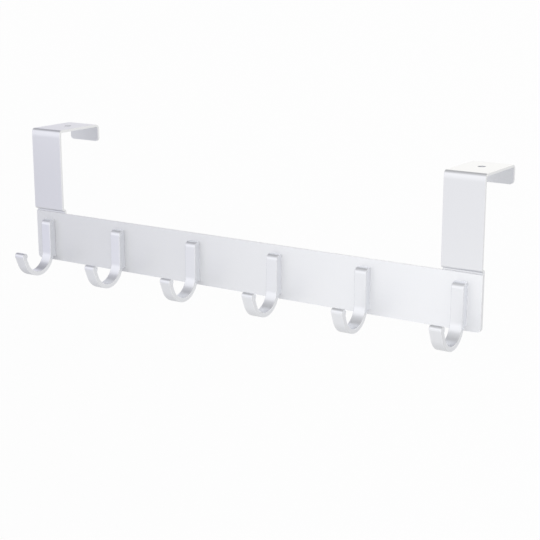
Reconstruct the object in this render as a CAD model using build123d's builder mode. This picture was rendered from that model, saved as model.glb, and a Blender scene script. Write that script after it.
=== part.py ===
# Over-the-door coat rack: a flat rail with a row of extruded J hooks, hung on two bent strip brackets.
# Millimetres, +Z up, +X to the right as seen from the front, +Y back towards and over the door.
# The origin lies midway between the two web holes, on the plane where the webs rest on the door's top edge.

import os
from math import asin, cos, degrees, radians, sin, sqrt, tan

from build123d import *

os.makedirs("parts", exist_ok=True)

# The door that the brackets hang on
door_thickness = 40.0
door_clearance = 1.5

# Rail: a flat bar of thin plate
rail_length = 400.0
rail_height = 40.0
rail_thickness = 1.2
rail_drop = 66.0  # from the door's top edge down to the rail's upper edge

# Brackets: one bent strip at each end of the rail
bracket_width = 30.0
bracket_thickness = 2.0
web_bend = 0.8  # inner radius between the strip and the web
lip_bend = 1.6  # inner radius between the web and the lip
web_hole = 5.5
lip_drop = 12.0  # below the door's top edge
joggle_offset = 2.8  # from the tab forward to the strip
joggle_slope = 60.0  # degrees away from upright
joggle_bend = 1.0  # inner radius
joggle_clearance = 0.1  # between the joggle's lower bend and the rail's upper edge

# Hooks: slices of one extruded profile, the two end hooks centred on the brackets
hook_count = 6
hook_width = 9.2
hook_depth = 6.4
crown_gap = 6.0  # from the hook's top to the rail's upper edge
crown_round = 4.0
foot_gap = 3.5  # from the rail's lower edge up to the foot
arm_thickness = 3.4
arm_bend = 13.3  # inner radius of the J
bend_gap = 7.7  # from the rail's lower edge up to the J's centre
tip_lean = 22.0  # degrees forward of upright
tip_length = 7.5  # straight part of the arm, up to the middle of the bead
bead_diameter = 5.2
neck_round = 1.2  # inner corner under the bead

# Screws, one behind each hook: low round heads along the rail, countersunk heads in the brackets' tabs
screw_diameter = 4.0
screw_reach = 5.0  # into the hook
screw_gap = 20.0  # from the rail's lower edge up to the screw
round_head = 8.0
round_head_height = 1.7
sunk_head = 7.2
sunk_head_angle = 90.0
sunk_head_depth = 0.1  # the head lies this far below the tab's surface
seat_clearance = 0.05
thread_clearance = 0.05
hole_clearance = 0.15  # around the shank in the rail and the tab
drill_clearance = 0.4  # past the end of the screw
recess_span = 4.0
recess_slot = 0.9
recess_depth = 1.2

end_corner = 3.0  # rounded corners at the rail's and the brackets' free ends
hook_edge = 0.3  # broken edges
rail_edge = 0.2

# Places that follow from the sizes above
door_gap = door_thickness + door_clearance
lip_front = door_thickness / 2
tab_back = lip_front - door_gap
rail_back = tab_back - bracket_thickness
rail_front = rail_back - rail_thickness
rail_top = -rail_drop
rail_bottom = rail_top - rail_height
end_hook = rail_length / 2 - bracket_width / 2
hook_pitch = 2 * end_hook / (hook_count - 1)
hook_places = [-end_hook + number * hook_pitch for number in range(hook_count)]
screw_height = rail_bottom + screw_gap

# Screw holes
sunk_slope = tan(radians(sunk_head_angle / 2))
countersink_radius = sunk_head / 2 + sunk_head_depth * sunk_slope + seat_clearance
clearance_radius = screw_diameter / 2 + hole_clearance


def facing_door(x, y):
    # A plane at the screws' height with its normal towards the door, to drill or to place a screw
    return Plane(origin=(x, y, screw_height), x_dir=(1, 0, 0), z_dir=(0, 1, 0))


# Rail
with BuildPart() as rail:
    with BuildSketch(Plane.XZ.offset(-rail_back)) as rail_outline:
        with Locations((0, (rail_top + rail_bottom) / 2)):
            Rectangle(rail_length, rail_height)
        fillet(rail_outline.vertices().group_by(Axis.Y)[0], end_corner)
    extrude(amount=rail_thickness)
    chamfer(rail.faces().sort_by(Axis.Y)[0].edges(), rail_edge)
    with Locations(*[facing_door(x, rail_back) for x in hook_places]):
        Hole(clearance_radius, rail_thickness)
rail.part.label = "rail"
export_step(rail.part, "parts/rail.step")

# Hooks: the profile is drawn forward and up from the rail's lower front edge
crown_height = rail_height - crown_gap
crown_centre = (hook_depth - crown_round, crown_height - crown_round)
arm_outer = arm_bend + arm_thickness
bend_centre = (hook_depth + arm_bend, bend_gap)
foot_angle = degrees(asin((bend_gap - foot_gap) / arm_outer))
bead_radius = bead_diameter / 2
neck_length = tip_length - sqrt(bead_radius**2 - (arm_thickness - bead_radius) ** 2)


def on_tip(along, inward):
    # A point on the leaning tip: along it from the end of the bend, and inward from its outer face
    lean = radians(tip_lean)
    reach = arm_outer - inward
    forward = bend_centre[0] + reach * cos(lean) + along * sin(lean)
    upward = bend_centre[1] - reach * sin(lean) + along * cos(lean)
    return (forward, upward)


for number, hook_x in enumerate(hook_places, start=1):
    hook_plane = Plane(origin=(hook_x, rail_front, rail_bottom), x_dir=(0, -1, 0), z_dir=(-1, 0, 0))
    with BuildPart() as hook:
        with BuildSketch(hook_plane) as hook_profile:
            with BuildLine():
                outer_bend = CenterArc(bend_centre, arm_outer, 180 + foot_angle, 180 - tip_lean - foot_angle)
                crown = CenterArc(crown_centre, crown_round, 0, 90)
                Polyline(outer_bend @ 0, (0, foot_gap), (0, crown_height), crown @ 1)
                Line(crown @ 0, (hook_depth, bend_gap))
                inner_bend = CenterArc(bend_centre, arm_bend, 180, 180 - tip_lean)
                neck = Line(inner_bend @ 1, on_tip(neck_length, arm_thickness))
                bead_top = on_tip(tip_length + bead_radius, bead_radius)
                bead = ThreePointArc(neck @ 1, bead_top, on_tip(tip_length, 0))
                Line(bead @ 1, outer_bend @ 1)
            make_face()
            fillet(hook_profile.vertices().sort_by_distance(neck @ 1)[0], neck_round)
        extrude(amount=hook_width / 2, both=True)
        chamfer(hook.faces().filter_by(Axis.X).edges(), hook_edge)
        with Locations(facing_door(hook_x, rail_front)):
            Hole(screw_diameter / 2 + thread_clearance, screw_reach + drill_clearance)
    hook.part.label = f"hook_{number}"
    export_step(hook.part, f"parts/hook_{number}.step")

# Brackets: the line follows the strip's door side, from the tab up, over the web and down the lip
strip_back = tab_back - joggle_offset
joggle_foot = rail_top + joggle_clearance + joggle_bend * tan(radians(joggle_slope / 2))
joggle_rise = joggle_offset / tan(radians(joggle_slope))
thickness_shift = bracket_thickness * tan(radians(joggle_slope / 2))
door_side = [
    (tab_back, rail_bottom),
    (tab_back, joggle_foot + thickness_shift),
    (strip_back, joggle_foot + thickness_shift + joggle_rise),
    (strip_back, 0),
    (lip_front, 0),
    (lip_front, -lip_drop),
]
door_side_bends = [joggle_bend + bracket_thickness, joggle_bend, web_bend, lip_bend]

for name, bracket_x in (("left_bracket", -end_hook), ("right_bracket", end_hook)):
    with BuildPart() as bracket:
        with BuildSketch(Plane.YZ.offset(bracket_x)):
            with BuildLine():
                FilletPolyline(*door_side, radius=door_side_bends)
                offset(amount=bracket_thickness, side=Side.LEFT)
            make_face()
        extrude(amount=bracket_width / 2, both=True)
        fillet(bracket.edges().filter_by(Axis.Y).group_by(SortBy.LENGTH)[0], end_corner)
        with Locations((bracket_x, 0, bracket_thickness)):
            Hole(web_hole / 2, bracket_thickness)
        with Locations(facing_door(bracket_x, tab_back)):
            CounterSinkHole(clearance_radius, countersink_radius, bracket_thickness, sunk_head_angle)
    bracket.part.label = name
    export_step(bracket.part, f"parts/{name}.step")

# Screws: each is drawn as half a section, its head's seat at the level of the surface it is driven into
shank = screw_diameter / 2
dome_radius = ((round_head / 2) ** 2 + round_head_height**2) / (2 * round_head_height)
round_reach = rail_thickness + screw_reach
sunk_reach = bracket_thickness + rail_thickness + screw_reach
sunk_cone = (sunk_head - screw_diameter) / 2 / sunk_slope

with BuildPart() as round_screw:
    with BuildSketch(Plane.XZ):
        with BuildLine():
            dome = RadiusArc((0, round_head_height), (round_head / 2, 0), dome_radius)
            Polyline(dome @ 1, (shank, 0), (shank, -round_reach), (0, -round_reach), dome @ 0)
        make_face()
    revolve(axis=Axis.Z)
    with BuildSketch(Plane.XY.offset(round_head_height)):
        Rectangle(recess_span, recess_slot)
        Rectangle(recess_slot, recess_span)
    extrude(amount=-recess_depth, mode=Mode.SUBTRACT)

with BuildPart() as sunk_screw:
    with BuildSketch(Plane.XZ):
        with BuildLine():
            head_top = (0, -sunk_head_depth)
            Polyline(
                head_top,
                (sunk_head / 2, -sunk_head_depth),
                (shank, -sunk_head_depth - sunk_cone),
                (shank, -sunk_reach),
                (0, -sunk_reach),
                head_top,
            )
        make_face()
    revolve(axis=Axis.Z)
    with BuildSketch(Plane.XY.offset(-sunk_head_depth)):
        Rectangle(recess_span, recess_slot)
        Rectangle(recess_slot, recess_span)
    extrude(amount=-recess_depth, mode=Mode.SUBTRACT)

with BuildPart() as hook_screws:
    with Locations(*[facing_door(x, rail_back) for x in hook_places[1:-1]]):
        add(round_screw.part)
hook_screws.part.label = "hook_screws"
export_step(hook_screws.part, "parts/hook_screws.step")

with BuildPart() as bracket_screws:
    with Locations(*[facing_door(x, tab_back) for x in (-end_hook, end_hook)]):
        add(sunk_screw.part)
bracket_screws.part.label = "bracket_screws"
export_step(bracket_screws.part, "parts/bracket_screws.step")
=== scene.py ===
import math

import bmesh
import bpy
from mathutils import Matrix, Vector


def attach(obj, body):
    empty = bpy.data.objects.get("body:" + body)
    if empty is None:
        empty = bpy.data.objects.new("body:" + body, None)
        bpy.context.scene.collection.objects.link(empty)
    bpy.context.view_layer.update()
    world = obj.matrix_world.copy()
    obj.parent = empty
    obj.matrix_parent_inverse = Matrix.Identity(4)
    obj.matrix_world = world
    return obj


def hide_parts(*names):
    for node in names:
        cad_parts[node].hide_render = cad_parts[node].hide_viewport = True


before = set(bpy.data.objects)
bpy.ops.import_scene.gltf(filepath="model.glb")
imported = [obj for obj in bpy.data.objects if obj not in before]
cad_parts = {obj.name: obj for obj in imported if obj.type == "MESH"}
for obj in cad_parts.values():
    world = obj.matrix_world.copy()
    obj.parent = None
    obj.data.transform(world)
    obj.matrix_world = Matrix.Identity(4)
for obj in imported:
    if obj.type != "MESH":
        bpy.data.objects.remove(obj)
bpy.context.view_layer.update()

scene = bpy.context.scene
mm = 0.001
mergeGap = 1e-6  # metres
quarterTurn, halfTurn = 90, 180  # degrees
acrossRack, towardsDoor, upwards = (1, 0, 0), (0, 1, 0), (0, 0, 1)

# where the pieces lie, in millimetres in the rack's frame
rackPlan = {
    "railFront": -24.7,
    "railBack": -23.5,
    "tabBack": -21.5,
    "railTop": -66.0,
    "railBottom": -106.0,
    "endHook": 185.0,
    "hookCount": 6,
    "screwHeight": -86.0,
}
hookPitch = 2 * rackPlan["endHook"] / (rackPlan["hookCount"] - 1)
hookPlaces = [-rackPlan["endHook"] + n * hookPitch for n in range(rackPlan["hookCount"])]

# what the new pieces share
pieceSkin = {
    "creaseAngle": 50,  # degrees, past which the shading breaks
    "sideNormal": 0.9,  # a face that leans this far along the rack is a side
}


def inMetres(x, y, z):
    return Vector((x, y, z)) * mm


def lineTo(bm, vert, place):
    made = bmesh.ops.extrude_vert_indiv(bm, verts=[vert])["verts"][0]
    made.co = place
    return made


def arcTo(bm, vert, centre, turn, steps, axis=acrossRack):
    made = bmesh.ops.spin(bm, geom=[vert], cent=centre, axis=axis, angle=math.radians(turn), steps=steps)
    return next(g for g in made["geom_last"] if isinstance(g, bmesh.types.BMVert))


def pullLoop(bm, loop, way):
    made = bmesh.ops.extrude_edge_only(bm, edges=loop)["geom"]
    bmesh.ops.translate(bm, vec=way, verts=[g for g in made if isinstance(g, bmesh.types.BMVert)])
    return [g for g in made if isinstance(g, bmesh.types.BMEdge)]


def bendLoop(bm, loop, centre, turn, steps):
    made = bmesh.ops.spin(bm, geom=loop, cent=centre, axis=acrossRack, angle=math.radians(turn), steps=steps)
    return [g for g in made["geom_last"] if isinstance(g, bmesh.types.BMEdge)]


def thickenBy(bm, way):
    made = bmesh.ops.extrude_face_region(bm, geom=bm.faces[:])["geom"]
    bmesh.ops.translate(bm, vec=way, verts=[g for g in made if isinstance(g, bmesh.types.BMVert)])
    bmesh.ops.recalc_face_normals(bm, faces=bm.faces[:])


def ringOf(bm, centre, axis, radius, segments):
    turn = Vector(upwards).rotation_difference(Vector(axis)).to_matrix().to_4x4()
    made = bmesh.ops.create_circle(bm, segments=segments, radius=radius * mm,
                                   matrix=Matrix.Translation(centre) @ turn)
    return list({e for v in made["verts"] for e in v.link_edges})


def sharpEdges(bm, apart):
    return [e for e in bm.edges if len(e.link_faces) == 2 and e.calc_face_angle() > math.radians(apart)]


def roundEdges(bm, edges, width, segments, clamp=False):
    return bmesh.ops.bevel(bm, geom=edges, offset=width * mm, offset_type="OFFSET", affect="EDGES",
                           segments=segments, profile=0.5, material=-1, clamp_overlap=clamp)["faces"]


def softenEdges(bm, edges, width, segments):
    edgeLayer = bm.faces.layers.float.new("edgeHighlight")
    for face in roundEdges(bm, edges, width, segments, clamp=True):
        face[edgeLayer] = 1.0  # painted highlight: these rounded strips are drawn a little lighter


def lightenSides(bm, share):
    # the ends and sides are drawn lighter too, through the same mask as the painted edge highlight
    edgeLayer = bm.faces.layers.float["edgeHighlight"]
    for face in bm.faces:
        if abs(face.normal.x) > pieceSkin["sideNormal"]:
            face[edgeLayer] = share


def placePiece(name, bm, node, finish):
    mesh = bpy.data.meshes.new(name)
    bm.to_mesh(mesh)
    bm.free()
    mesh.shade_smooth()
    mesh.set_sharp_from_angle(angle=math.radians(pieceSkin["creaseAngle"]))
    mesh.materials.append(finish)
    piece = bpy.data.objects.new(name, mesh)
    scene.collection.objects.link(piece)
    evenShade = piece.modifiers.new("evenShade", "WEIGHTED_NORMAL")  # flat faces stay flat beside the rounds
    evenShade.keep_sharp = True
    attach(piece, "root")
    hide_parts(node)


# camera, from the photograph's own perspective
cameraView = {
    "azimuth": 33.47,
    "elevation": 14.06,
    "aim": (31.56, -24.7, -85.53),
    "distance": 933.69,
    "lens": 84.71,
    "sensor": 36.0,
}


def setCamera(c):
    a, e = math.radians(c["azimuth"]), math.radians(c["elevation"])
    back = Vector((math.sin(a) * math.cos(e), -math.cos(a) * math.cos(e), math.sin(e)))
    camera = bpy.data.objects.new("rackCamera", bpy.data.cameras.new("rackCamera"))
    camera.location = inMetres(*c["aim"]) + back * c["distance"] * mm
    camera.rotation_euler = (-back).to_track_quat("-Z", "Y").to_euler()
    camera.data.lens = c["lens"]
    camera.data.sensor_width = c["sensor"]
    scene.collection.objects.link(camera)
    scene.camera = camera


setCamera(cameraView)
print("camera set")


# nodes that the finishes and the studio share
def groupWith(name, inputs, outputs):
    group = bpy.data.node_groups.new(name, "ShaderNodeTree")
    for label, kind in inputs:
        group.interface.new_socket(name=label, in_out="INPUT", socket_type=kind)
    for label, kind in outputs:
        group.interface.new_socket(name=label, in_out="OUTPUT", socket_type=kind)
    return group, group.nodes.new("NodeGroupInput").outputs, group.nodes.new("NodeGroupOutput").inputs


def feed(tree, socket, value):
    # a socket takes either another node's output or a plain number or colour
    if isinstance(value, bpy.types.NodeSocket):
        tree.links.new(value, socket)
    else:
        socket.default_value = value


def mathNode(tree, operation, *values, clamp=False):
    node = tree.nodes.new("ShaderNodeMath")
    node.operation = operation
    node.use_clamp = clamp
    for socket, value in zip(node.inputs, values):
        feed(tree, socket, value)
    return node.outputs[0]


def noiseNode(tree, vector, scale, detail):
    node = tree.nodes.new("ShaderNodeTexNoise")
    feed(tree, node.inputs["Vector"], vector)
    feed(tree, node.inputs["Scale"], scale)
    feed(tree, node.inputs["Detail"], detail)
    return node.outputs["Fac"]


def mixTones(tree, factor, a, b, blend="MIX"):
    mix = tree.nodes.new("ShaderNodeMix")
    mix.data_type = "RGBA"
    mix.blend_type = blend
    for label, value in (("Factor", factor), ("A", a), ("B", b)):
        feed(tree, mix.inputs[label], value)
    return mix.outputs["Result"]


def mixShaders(tree, factor, a, b):
    mix = tree.nodes.new("ShaderNodeMixShader")
    for socket, value in zip(mix.inputs, (factor, a, b)):
        feed(tree, socket, value)
    return mix.outputs[0]


# shared effects of the finishes
noiseMiddle = 0.5
drawnLines = {"lineDetail": 2.0, "streakDetail": 1.0, "streakShare": 0.12}  # streaks per line
blastedPits = {"pitDetail": 1.0, "cloudDetail": 3.0}
# painted highlight on rounded edges: how it breaks up, and its least share
glintedEdges = {"breaksPerMetre": 160.0, "breakDetail": 2.0, "least": 0.35}


def makeDrawnGrain(d):
    # fine lines left by the die or the rolls, long in one direction and short across it
    group, start, end = groupWith(
        "drawnGrain",
        [("Vector", "NodeSocketVector"), ("Stretch", "NodeSocketVector"), ("Lines per Metre", "NodeSocketFloat")],
        [("Height", "NodeSocketFloat"), ("Streak", "NodeSocketFloat")],
    )
    stretch = group.nodes.new("ShaderNodeVectorMath")
    stretch.operation = "MULTIPLY"
    feed(group, stretch.inputs[0], start["Vector"])
    feed(group, stretch.inputs[1], start["Stretch"])
    broad = mathNode(group, "MULTIPLY", start["Lines per Metre"], d["streakShare"])
    lines = noiseNode(group, stretch.outputs[0], start["Lines per Metre"], d["lineDetail"])
    streaks = noiseNode(group, stretch.outputs[0], broad, d["streakDetail"])
    feed(group, end["Height"], lines)
    feed(group, end["Streak"], mathNode(group, "SUBTRACT", streaks, noiseMiddle))
    return group


def makeBlastedSkin(p):
    # the fine even pitting of a blasted and anodised skin, with faint clouds
    group, start, end = groupWith(
        "blastedSkin",
        [("Vector", "NodeSocketVector"), ("Pits per Metre", "NodeSocketFloat"),
         ("Clouds per Metre", "NodeSocketFloat")],
        [("Height", "NodeSocketFloat"), ("Cloud", "NodeSocketFloat")],
    )
    pits = noiseNode(group, start["Vector"], start["Pits per Metre"], p["pitDetail"])
    clouds = noiseNode(group, start["Vector"], start["Clouds per Metre"], p["cloudDetail"])
    feed(group, end["Height"], pits)
    feed(group, end["Cloud"], mathNode(group, "SUBTRACT", clouds, noiseMiddle))
    return group


def makeEdgeGlint(r):
    # painted highlight along the marked edges, lighter and less rough there, broken up so that it never runs as one
    # hard line
    group, start, end = groupWith(
        "edgeGlint",
        [("Vector", "NodeSocketVector"), ("Amount", "NodeSocketFloat")],
        [("Mask", "NodeSocketFloat")],
    )
    marked = group.nodes.new("ShaderNodeAttribute")
    marked.attribute_name = "edgeHighlight"
    breaks = noiseNode(group, start["Vector"], r["breaksPerMetre"], r["breakDetail"])
    worn = mathNode(group, "MULTIPLY", marked.outputs["Fac"], mathNode(group, "ADD", breaks, r["least"]), clamp=True)
    feed(group, end["Mask"], mathNode(group, "MULTIPLY", worn, start["Amount"]))
    return group


drawnGrain = makeDrawnGrain(drawnLines)
blastedSkin = makeBlastedSkin(blastedPits)
edgeGlint = makeEdgeGlint(glintedEdges)


def makeMetal(name, look):
    metal = bpy.data.materials.new(name)
    metal.use_nodes = True
    tree = metal.node_tree
    shader = tree.nodes["Principled BSDF"].inputs
    shader["Metallic"].default_value = look["metal"]
    if look["brushed"]:
        shader["Anisotropic"].default_value = look["brushed"]
        across = tree.nodes.new("ShaderNodeCombineXYZ")  # the gloss spreads across the brushing
        for axis, share in zip("XYZ", look["spread"]):
            across.inputs[axis].default_value = share
        feed(tree, shader["Tangent"], across.outputs[0])
    where = tree.nodes.new("ShaderNodeTexCoord").outputs["Object"]

    def place(group, values):
        node = tree.nodes.new("ShaderNodeGroup")
        node.node_tree = group
        feed(tree, node.inputs["Vector"], where)
        for label, value in values.items():
            node.inputs[label].default_value = value
        return node.outputs

    grain = place(drawnGrain, {"Stretch": look["stretch"], "Lines per Metre": look["lines"]})
    skin = place(blastedSkin, {"Pits per Metre": look["pits"], "Clouds per Metre": look["clouds"]})
    glinted = place(edgeGlint, {"Amount": look["glint"]})["Mask"]
    marked = tree.nodes.new("ShaderNodeAttribute")
    marked.attribute_name = "doorSide"
    doorSide = marked.outputs["Fac"]

    # tone: faint clouds and streaks round the base colour, the painted shade on the door side, then the painted
    # highlight on the marked edges
    drift = mathNode(tree, "ADD", mathNode(tree, "MULTIPLY", skin["Cloud"], look["cloudTone"]),
                     mathNode(tree, "MULTIPLY", grain["Streak"], look["streakTone"]))
    tone = mixTones(tree, mathNode(tree, "ADD", drift, noiseMiddle, clamp=True),
                    (*look["dark"], 1), (*look["light"], 1))
    # painted shade: the face toward the door, which runs round the inside of the bracket's bend, is drawn darker
    tone = mixTones(tree, doorSide, tone, (*look["doorShade"], 1))
    tone = mixTones(tree, glinted, tone, (*look["edge"], 1))
    feed(tree, shader["Base Color"], tone)

    rough = mathNode(tree, "ADD", mathNode(tree, "MULTIPLY", drift, look["roughDrift"]), look["rough"])
    rough = mathNode(tree, "SUBTRACT", rough, mathNode(tree, "MULTIPLY", glinted, look["edgePolish"]))
    rough = mathNode(tree, "ADD", rough, mathNode(tree, "MULTIPLY", doorSide, look["dullRough"]))
    feed(tree, shader["Roughness"], rough)

    relief = mathNode(tree, "ADD", mathNode(tree, "MULTIPLY", grain["Height"], look["lineDepth"]),
                      mathNode(tree, "MULTIPLY", skin["Height"], look["pitDepth"]))
    bump = tree.nodes.new("ShaderNodeBump")
    bump.inputs["Strength"].default_value = look["bump"]
    bump.inputs["Distance"].default_value = look["relief"] * mm
    feed(tree, bump.inputs["Height"], relief)
    feed(tree, shader["Normal"], bump.outputs["Normal"])
    return metal


# the edge colour is a painted highlight on the rounded edges
satinLook = {
    "dark": (0.875, 0.884, 0.906), "light": (0.910, 0.920, 0.940), "edge": (0.96, 0.965, 0.975),
    # the door-side colour is a painted shade inside the bracket's bend
    "doorShade": (0.83, 0.84, 0.86), "dullRough": 0.12, "metal": 1.0,
    "stretch": (0.02, 1.0, 1.0), "lines": 2600.0, "pits": 5200.0, "clouds": 26.0,
    "cloudTone": 0.3, "streakTone": 0.10, "rough": 0.40, "roughDrift": 0.05, "glint": 0.6, "edgePolish": 0.12,
    "lineDepth": 0.5, "pitDepth": 0.5, "bump": 0.05, "relief": 0.01, "brushed": 0.0, "spread": (1.0, 0.05, 0.05),
}
railFinish = makeMetal("satinRail", {
    **satinLook, "dark": (0.785, 0.793, 0.813), "light": (0.821, 0.829, 0.849), "metal": 0.5,
})
bracketFinish = makeMetal("satinStrip", {
    **satinLook, "dark": (0.828, 0.834, 0.860), "light": (0.863, 0.870, 0.896), "stretch": (1.0, 0.02, 0.02),
    "rough": 0.28, "brushed": 0.8, "glint": 0.85,
})
hookFinish = makeMetal("satinHook", {
    **satinLook, "dark": (0.835, 0.844, 0.872), "light": (0.870, 0.879, 0.907), "lines": 3400.0, "rough": 0.28,
    "glint": 0.8, "edgePolish": 0.08,
})
screwFinish = makeMetal("platedScrew", {
    **satinLook, "dark": (0.50, 0.50, 0.52), "light": (0.62, 0.62, 0.63), "edge": (0.75, 0.75, 0.75),
    "rough": 0.24, "lines": 900.0, "stretch": (1.0, 1.0, 1.0), "cloudTone": 0.8,
})
print("finishes made")

# rail: a thin flat bar with its two lower corners rounded
railBar = {"halfLength": 200.0, "corner": 3.0, "cornerSteps": 10, "hole": 2.15, "holeSteps": 32,
           "sharpAngle": 60, "frontBand": 0.1, "edge": 0.2, "edgeSegments": 2, "sideLighten": 1.0}


def makeRail(r):
    bm = bmesh.new()
    x, c, y = r["halfLength"], r["corner"], rackPlan["railBack"]
    top, low = rackPlan["railTop"], rackPlan["railBottom"]
    first = bm.verts.new(inMetres(-x, y, top))
    vert = lineTo(bm, first, inMetres(-x, y, low + c))
    vert = arcTo(bm, vert, inMetres(-x + c, y, low + c), -quarterTurn, r["cornerSteps"], towardsDoor)
    vert = lineTo(bm, vert, inMetres(x - c, y, low))
    vert = arcTo(bm, vert, inMetres(x - c, y, low + c), -quarterTurn, r["cornerSteps"], towardsDoor)
    vert = lineTo(bm, vert, inMetres(x, y, top))
    bm.edges.new((vert, first))
    for place in hookPlaces:  # screw holes, each hidden by its hook
        ringOf(bm, inMetres(place, y, rackPlan["screwHeight"]), towardsDoor, r["hole"], r["holeSteps"])
    bmesh.ops.triangle_fill(bm, edges=bm.edges[:], use_beauty=True, normal=(0, -1, 0))
    thickenBy(bm, inMetres(0, rackPlan["railFront"] - y, 0))
    frontEnd = (rackPlan["railFront"] + r["frontBand"]) * mm
    frontEdges = [e for e in sharpEdges(bm, r["sharpAngle"]) if all(v.co.y < frontEnd for v in e.verts)]
    softenEdges(bm, frontEdges, r["edge"], r["edgeSegments"])
    lightenSides(bm, r["sideLighten"])
    placePiece("rackRail", bm, "rail", railFinish)


makeRail(railBar)
print("rail made")

# hooks: slices of one extruded J, with a rounded crown, a foot and a bead along the nose
jHook = {"width": 9.2, "depth": 6.4, "crownGap": 6.0, "crownRound": 4.0, "crownSteps": 12, "footGap": 3.5,
         "arm": 3.4, "bend": 13.3, "bendGap": 7.7, "bendSteps": 40, "lean": 22.0, "tip": 7.5,
         "bead": 5.2, "beadSteps": 28, "neck": 1.2, "neckSteps": 5, "edge": 0.35, "edgeSegments": 3}


def makeHook(h, number, place):
    bm = bmesh.new()
    x, front, low = place - h["width"] / 2, rackPlan["railFront"], rackPlan["railBottom"]
    crown = rackPlan["railTop"] - low - h["crownGap"]
    outer, bead = h["bend"] + h["arm"], h["bead"] / 2
    lean = math.radians(h["lean"])
    bendCentre = (h["depth"] + h["bend"], h["bendGap"])
    bendTurn = halfTurn - h["lean"]
    footTurn = math.degrees(math.asin((h["bendGap"] - h["footGap"]) / outer))

    def at(forward, up):
        return inMetres(x, front - forward, low + up)

    def onTip(along, inward):  # along the leaning tip, and inward from its outer face
        reach = outer - inward
        return (bendCentre[0] + reach * math.cos(lean) + along * math.sin(lean),
                bendCentre[1] - reach * math.sin(lean) + along * math.cos(lean))

    # up the back, round the crown, down the front and along the inside of the J
    crownStart = h["depth"] - h["crownRound"]
    first = bm.verts.new(at(0, h["footGap"]))
    vert = lineTo(bm, first, at(0, crown))
    vert = lineTo(bm, vert, at(crownStart, crown))
    vert = arcTo(bm, vert, at(crownStart, crown - h["crownRound"]), quarterTurn, h["crownSteps"])
    vert = lineTo(bm, vert, at(h["depth"], h["bendGap"]))
    vert = arcTo(bm, vert, at(*bendCentre), -bendTurn, h["bendSteps"])

    # neck: a small round leads from the arm's inner face into the bead
    neckOut = h["arm"] + h["neck"]  # the neck's centre lies this far in from the tip's outer face
    neckAlong = h["tip"] - math.sqrt((bead + h["neck"]) ** 2 - (neckOut - bead) ** 2)
    neckTurn = math.degrees(math.acos((neckOut - bead) / (bead + h["neck"])))
    vert = lineTo(bm, vert, at(*onTip(neckAlong, h["arm"])))
    vert = arcTo(bm, vert, at(*onTip(neckAlong, neckOut)), -neckTurn, h["neckSteps"])
    vert = arcTo(bm, vert, at(*onTip(h["tip"], bead)), halfTurn + neckTurn, h["beadSteps"])

    # down the tip's outer face, under the J and back to the foot
    vert = lineTo(bm, vert, at(*onTip(0, 0)))
    vert = arcTo(bm, vert, at(*bendCentre), bendTurn - footTurn, h["bendSteps"])
    bm.edges.new((vert, first))
    bmesh.ops.remove_doubles(bm, verts=bm.verts[:], dist=mergeGap)
    bmesh.ops.contextual_create(bm, geom=bm.edges[:])
    thickenBy(bm, inMetres(h["width"], 0, 0))
    sideEdges = [e for e in bm.edges if abs(e.verts[0].co.x - e.verts[1].co.x) < mergeGap]
    softenEdges(bm, sideEdges, h["edge"], h["edgeSegments"])
    placePiece(f"coatHook_{number}", bm, f"hook_{number}", hookFinish)


for number, place in enumerate(hookPlaces, start=1):
    makeHook(jHook, number, place)
print("hooks made")

# brackets: one strip each, pulled and bent from the tab's lower end to the lip
stripBracket = {
    "width": 30.0, "thickness": 2.0, "corner": 3.0, "cornerSteps": 8,
    "joggle": 2.8, "slope": 75.0, "joggleBend": 0.4, "joggleGap": 1.1, "joggleSteps": (6, 8),
    "bow": 34.0, "bowTurn": 6.0, "bowSteps": 6, "webBend": 0.8, "webSteps": 14,
    "lipBend": 1.6, "lipSteps": 12, "lipFront": 20.0, "lipDrop": 12.0,
    "patch": 6.0, "webHole": 2.75, "screwHole": 2.15, "sinkHole": 3.75, "ringSteps": 32,
    "sharpAngle": 40, "edge": 0.25, "edgeSegments": 3, "sideLighten": 0.4,
}


def drillThrough(bm, axis, rims, steps):
    # the rims follow the hole through the strip; its first and last meet the strip's own faces
    rings = [ringOf(bm, centre, axis, radius, steps) for centre, radius in rims]
    for a, b in zip(rings, rings[1:]):
        bmesh.ops.bridge_loops(bm, edges=a + b)
    for end in (0, -1):
        centre = rims[end][0]
        patch = min(bm.faces, key=lambda f: (f.calc_center_median() - centre).length)
        outline = patch.edges[:]
        bmesh.ops.delete(bm, geom=[patch], context="FACES_ONLY")
        bmesh.ops.triangle_fill(bm, edges=outline + rings[end], use_beauty=True, normal=axis)


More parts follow.
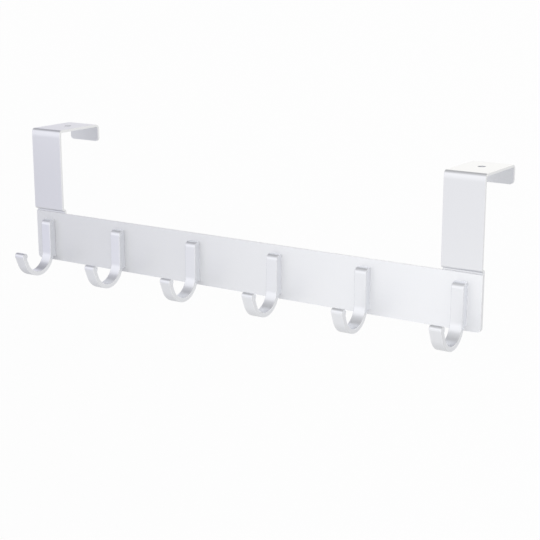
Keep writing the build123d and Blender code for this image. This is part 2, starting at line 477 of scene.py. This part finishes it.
def makeBracket(b, name, node, place):
    bm = bmesh.new()
    half, patch, thick = b["width"] / 2, b["patch"], b["thickness"]
    front, back = rackPlan["railBack"], rackPlan["tabBack"]
    low, screw = rackPlan["railBottom"], rackPlan["screwHeight"]
    slope = math.radians(b["slope"])
    section = [(-half, front), (-patch, front), (patch, front), (half, front),
               (half, back), (patch, back), (-patch, back), (-half, back)]
    # painted shade: marks the face toward the door, which the finishes draw darker
    doorSide = bm.verts.layers.float.new("doorSide")  # carried along by every pull and bend
    verts = [bm.verts.new(inMetres(place + x, y, low)) for x, y in section]
    for vert, (x, y) in zip(verts, section):
        vert[doorSide] = float(y == back)
    loop = [bm.edges.new(pair) for pair in zip(verts, verts[1:] + verts[:1])]

    # tab, with a patch of faces left square round its screw
    heights = [low, screw - patch, screw + patch, rackPlan["railTop"] + b["joggleGap"]]
    for a, z in zip(heights, heights[1:]):
        loop = pullLoop(bm, loop, inMetres(0, 0, z - a))

    # joggle: forward round the rail's side, along the slope, then upright again
    inner, outer = b["joggleBend"], b["joggleBend"] + thick
    lowSteps, highSteps = b["joggleSteps"]
    y, z = front, heights[-1]
    loop = bendLoop(bm, loop, inMetres(place, y - inner, z), b["slope"], lowSteps)
    run = (b["joggle"] - (inner + outer) * (1 - math.cos(slope))) / math.sin(slope)
    loop = pullLoop(bm, loop, inMetres(0, -run * math.sin(slope), run * math.cos(slope)))
    y -= inner * (1 - math.cos(slope)) + run * math.sin(slope)
    z += inner * math.sin(slope) + run * math.cos(slope)
    bendCentre = inMetres(place, y + outer * math.cos(slope), z + outer * math.sin(slope))
    loop = bendLoop(bm, loop, bendCentre, -b["slope"], highSteps)
    z += outer * math.sin(slope)

    # strip, which bows back a little before its tight bend
    stripBack = back - b["joggle"]
    bow, bowReach = math.radians(b["bowTurn"]), b["bow"] - b["webBend"]
    bowStart = -b["webBend"] - bowReach * math.sin(bow)
    loop = pullLoop(bm, loop, inMetres(0, 0, bowStart - z))
    loop = bendLoop(bm, loop, inMetres(place, stripBack + b["bow"], bowStart), -b["bowTurn"], b["bowSteps"])

    # web, with a square patch round its hole, and lip
    webStart = stripBack + b["bow"] - bowReach * math.cos(bow)
    webCentre = inMetres(place, webStart, -b["webBend"])
    loop = bendLoop(bm, loop, webCentre, b["bowTurn"] - quarterTurn, b["webSteps"])
    stations = [webStart, -patch, patch, b["lipFront"] - b["lipBend"]]
    for a, y in zip(stations, stations[1:]):
        loop = pullLoop(bm, loop, inMetres(0, y - a, 0))
    loop = bendLoop(bm, loop, inMetres(place, stations[-1], -b["lipBend"]), -quarterTurn, b["lipSteps"])
    pullLoop(bm, loop, inMetres(0, 0, b["lipBend"] - b["lipDrop"]))
    bmesh.ops.holes_fill(bm, edges=[e for e in bm.edges if len(e.link_faces) == 1], sides=len(section))
    bmesh.ops.recalc_face_normals(bm, faces=bm.faces[:])

    # rounded corners at both free ends
    corners = [e for e in bm.edges if abs(e.calc_length() - thick * mm) < mergeGap
               and all(abs(abs(v.co.x - place * mm) - half * mm) < mergeGap for v in e.verts)
               and any(len(f.verts) == len(section) for f in e.link_faces)]
    roundEdges(bm, corners, b["corner"], b["cornerSteps"])

    # the web's plain hole and the tab's countersunk one
    drillThrough(bm, upwards, [(inMetres(place, 0, thick), b["webHole"]),
                               (inMetres(place, 0, 0), b["webHole"])], b["ringSteps"])
    cone = back - (b["sinkHole"] - b["screwHole"])
    drillThrough(bm, towardsDoor, [(inMetres(place, back, screw), b["sinkHole"]),
                                   (inMetres(place, cone, screw), b["screwHole"]),
                                   (inMetres(place, front, screw), b["screwHole"])], b["ringSteps"])
    bmesh.ops.recalc_face_normals(bm, faces=bm.faces[:])
    softenEdges(bm, sharpEdges(bm, b["sharpAngle"]), b["edge"], b["edgeSegments"])
    lightenSides(bm, b["sideLighten"])
    placePiece(name, bm, node, bracketFinish)


makeBracket(stripBracket, "bracketLeft", "left_bracket", -rackPlan["endHook"])
makeBracket(stripBracket, "bracketRight", "right_bracket", rackPlan["endHook"])
print("brackets made")

for node in ("hook_screws", "bracket_screws"):
    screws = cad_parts[node]
    screws.data.materials.clear()
    screws.data.materials.append(screwFinish)
print("screws finished")

# studio: what the metal mirrors, bright from the front and at the backdrop,
# dimmer to both sides, underneath and overhead
studioLight = {
    "level": 1.14,
    # along the rack, from straight left at -1 to straight right at 1
    "across": [
        (-1.0, (0.40, 0.395, 0.42)), (-0.82, (0.62, 0.615, 0.68)), (-0.72, (0.785, 0.782, 0.885)),
        (-0.66, (0.82, 0.817, 0.882)), (-0.60, (0.83, 0.832, 0.865)), (-0.53, (0.86, 0.863, 0.875)),
        (-0.46, (0.915, 0.915, 0.918)), (-0.38, 0.98), (0.10, 0.965), (0.36, 0.95), (0.42, 0.90), (0.46, 0.84),
        (0.51, 0.86), (0.56, 0.93), (0.61, 1.0), (0.68, 0.99), (0.80, 0.94), (1.0, 0.75),
    ],
    # low in front the light is more even from left to right
    "acrossLow": [
        (-1.0, (0.50, 0.50, 0.51)), (-0.72, (0.87, 0.87, 0.89)), (-0.66, (0.905, 0.905, 0.92)),
        (-0.60, (0.89, 0.89, 0.90)), (-0.53, (0.885, 0.885, 0.893)), (-0.46, (0.915, 0.915, 0.918)),
        (-0.38, 0.98), (0.40, 0.945), (1.0, 0.64),
    ],
    # degrees round the rack's length: 0 ahead, 90 overhead, 180 behind, -90 underneath
    "lowShare": [(-180, 0.0), (-150, 0.3), (-115, 1.0), (-58, 1.0), (-40, 0.0), (180, 0.0)],
    "around": [
        (-180, (0.96, 0.952, 0.925)), (-155, 0.82), (-125, 0.70), (-90, 0.735), (-60, 0.84), (-38, 0.96),
        (-20, 0.92), (-8, 0.89), (6, 0.88), (22, 0.83), (38, 0.78), (52, 0.72), (66, 0.67), (80, 0.585),
        (94, 0.515), (108, 0.465), (122, 0.46), (136, 0.60), (148, (0.90, 0.893, 0.865)),
        (160, (1.06, 1.05, 1.012)), (180, (0.96, 0.952, 0.925)),
    ],
}


def stopsOf(tree, share, stops, reach):
    # a ramp whose stops are given from -reach to reach, for a share that runs from -1 to 1
    ramp = tree.nodes.new("ShaderNodeValToRGB")
    feed(tree, ramp.inputs["Fac"], mathNode(tree, "MULTIPLY_ADD", share, 0.5, 0.5))
    for n, (where, tone) in enumerate(stops):
        stop = ramp.color_ramp.elements[n] if n < 2 else ramp.color_ramp.elements.new(1.0)  # a new ramp has two
        stop.position = (where / reach + 1) / 2
        stop.color = (*tone, 1) if isinstance(tone, tuple) else (tone, tone, tone, 1)
    return ramp.outputs["Color"]


def makeStudioFall(s):
    group, start, end = groupWith("studioFall", [("Direction", "NodeSocketVector")], [("Color", "NodeSocketColor")])
    split = group.nodes.new("ShaderNodeSeparateXYZ")
    feed(group, split.inputs[0], start["Direction"])
    along = split.outputs["X"]
    ahead = mathNode(group, "MULTIPLY", split.outputs["Y"], -1.0)
    turn = mathNode(group, "DIVIDE", mathNode(group, "ARCTAN2", split.outputs["Z"], ahead), math.pi)
    across = mixTones(group, stopsOf(group, turn, s["lowShare"], halfTurn),
                      stopsOf(group, along, s["across"], 1), stopsOf(group, along, s["acrossLow"], 1))
    around = stopsOf(group, turn, s["around"], halfTurn)
    feed(group, end["Color"], mixTones(group, 1.0, across, around, "MULTIPLY"))
    return group


studioFall = makeStudioFall(studioLight)


def fallFrom(tree, direction):
    fall = tree.nodes.new("ShaderNodeGroup")
    fall.node_tree = studioFall
    feed(tree, fall.inputs["Direction"], direction)
    return fall.outputs["Color"]


def seenBy(tree, path):
    return mathNode(tree, "MAXIMUM", path["Is Camera Ray"], path["Is Transmission Ray"])


def setWorld(s):
    world = bpy.data.worlds.new("studioWorld")
    world.use_nodes = True
    tree = world.node_tree
    sky = tree.nodes["Background"]
    sky.inputs["Strength"].default_value = s["level"]
    feed(tree, sky.inputs["Color"], fallFrom(tree, tree.nodes.new("ShaderNodeTexCoord").outputs["Generated"]))
    plain = tree.nodes.new("ShaderNodeBackground")  # white past the stage's ends too
    plain.inputs["Color"].default_value = (1, 1, 1, 1)
    seen = seenBy(tree, tree.nodes.new("ShaderNodeLightPath").outputs)
    shown = mixShaders(tree, seen, sky.outputs[0], plain.outputs[0])
    feed(tree, tree.nodes["World Output"].inputs["Surface"], shown)
    scene.world = world


# lamps, in metres and watts
keyLamp = {"place": (-0.80, -1.15, 0.40), "aim": (0, -0.03, -0.06), "size": (1.6, 1.2), "power": 1.5, "spread": 180,
           "shadow": True, "mirrored": True}
# lights the matt share of the rail
sideLamp = {"place": (0.30, -0.60, 0.15), "aim": (0.18, -0.02, -0.08), "size": (0.3, 0.3), "power": 0.32, "spread": 62,
            "shadow": False, "mirrored": False}


def softBox(name, b):
    lamp = bpy.data.lights.new(name, "AREA")
    lamp.shape = "RECTANGLE"
    lamp.size, lamp.size_y = b["size"]
    lamp.energy = b["power"]
    lamp.spread = math.radians(b["spread"])
    lamp.use_shadow = b["shadow"]
    box = bpy.data.objects.new(name, lamp)
    box.location = b["place"]
    box.rotation_euler = (Vector(b["aim"]) - Vector(b["place"])).to_track_quat("-Z", "Y").to_euler()
    box.visible_glossy = b["mirrored"]
    scene.collection.objects.link(box)


setWorld(studioLight)
softBox("keyBox", keyLamp)
softBox("sideBox", sideLamp)

# stage: a pale floor that runs up into a backdrop, white to the camera and with the studio's fall-off in the metal
stageSweep = {"floor": -400.0, "reach": 3000.0, "back": 1800.0, "rise": 2200.0, "sweep": 500.0, "sweepSteps": 12,
              "tone": 0.95, "rough": 0.9, "plainShare": 0.95}


def makeStageFinish(s, level):
    finish = bpy.data.materials.new("paleStage")
    finish.use_nodes = True
    tree = finish.node_tree
    shader = tree.nodes["Principled BSDF"]
    shader.inputs["Base Color"].default_value = (s["tone"], s["tone"], s["tone"], 1)
    shader.inputs["Roughness"].default_value = s["rough"]
    fromRack = tree.nodes.new("ShaderNodeVectorMath")
    fromRack.operation = "NORMALIZE"
    feed(tree, fromRack.inputs[0], tree.nodes.new("ShaderNodeTexCoord").outputs["Object"])
    mirrored = tree.nodes.new("ShaderNodeEmission")
    mirrored.inputs["Strength"].default_value = level
    feed(tree, mirrored.inputs["Color"], fallFrom(tree, fromRack.outputs[0]))
    plain = tree.nodes.new("ShaderNodeEmission")
    path = tree.nodes.new("ShaderNodeLightPath").outputs
    seen = mathNode(tree, "MULTIPLY", seenBy(tree, path), s["plainShare"])  # the rest keeps the rack's faint shadow
    lit = mixShaders(tree, seen, shader.outputs[0], plain.outputs[0])
    shown = mixShaders(tree, path["Is Glossy Ray"], lit, mirrored.outputs[0])

    # a look up from below the floor passes through it
    backface = tree.nodes.new("ShaderNodeNewGeometry").outputs["Backfacing"]
    under = mathNode(tree, "MULTIPLY", path["Is Camera Ray"], backface)
    clear = tree.nodes.new("ShaderNodeBsdfTransparent")
    shown = mixShaders(tree, under, shown, clear.outputs[0])
    feed(tree, tree.nodes["Material Output"].inputs["Surface"], shown)
    return finish


def makeStage(s, finish):
    bm = bmesh.new()
    left, sweepStart = -s["reach"], s["back"] - s["sweep"]
    first = bm.verts.new(inMetres(left, -s["reach"], s["floor"]))
    vert = lineTo(bm, first, inMetres(left, sweepStart, s["floor"]))
    vert = arcTo(bm, vert, inMetres(left, sweepStart, s["floor"] + s["sweep"]), quarterTurn, s["sweepSteps"])
    lineTo(bm, vert, inMetres(left, s["back"], s["rise"]))
    pullLoop(bm, bm.edges[:], inMetres(2 * s["reach"], 0, 0))
    mesh = bpy.data.meshes.new("paleStage")
    bm.to_mesh(mesh)
    bm.free()
    mesh.shade_smooth()
    mesh.materials.append(finish)
    stage = bpy.data.objects.new("paleStage", mesh)
    scene.collection.objects.link(stage)


makeStage(stageSweep, makeStageFinish(stageSweep, studioLight["level"]))
scene.view_settings.view_transform = "Standard"
print("stage and light set")
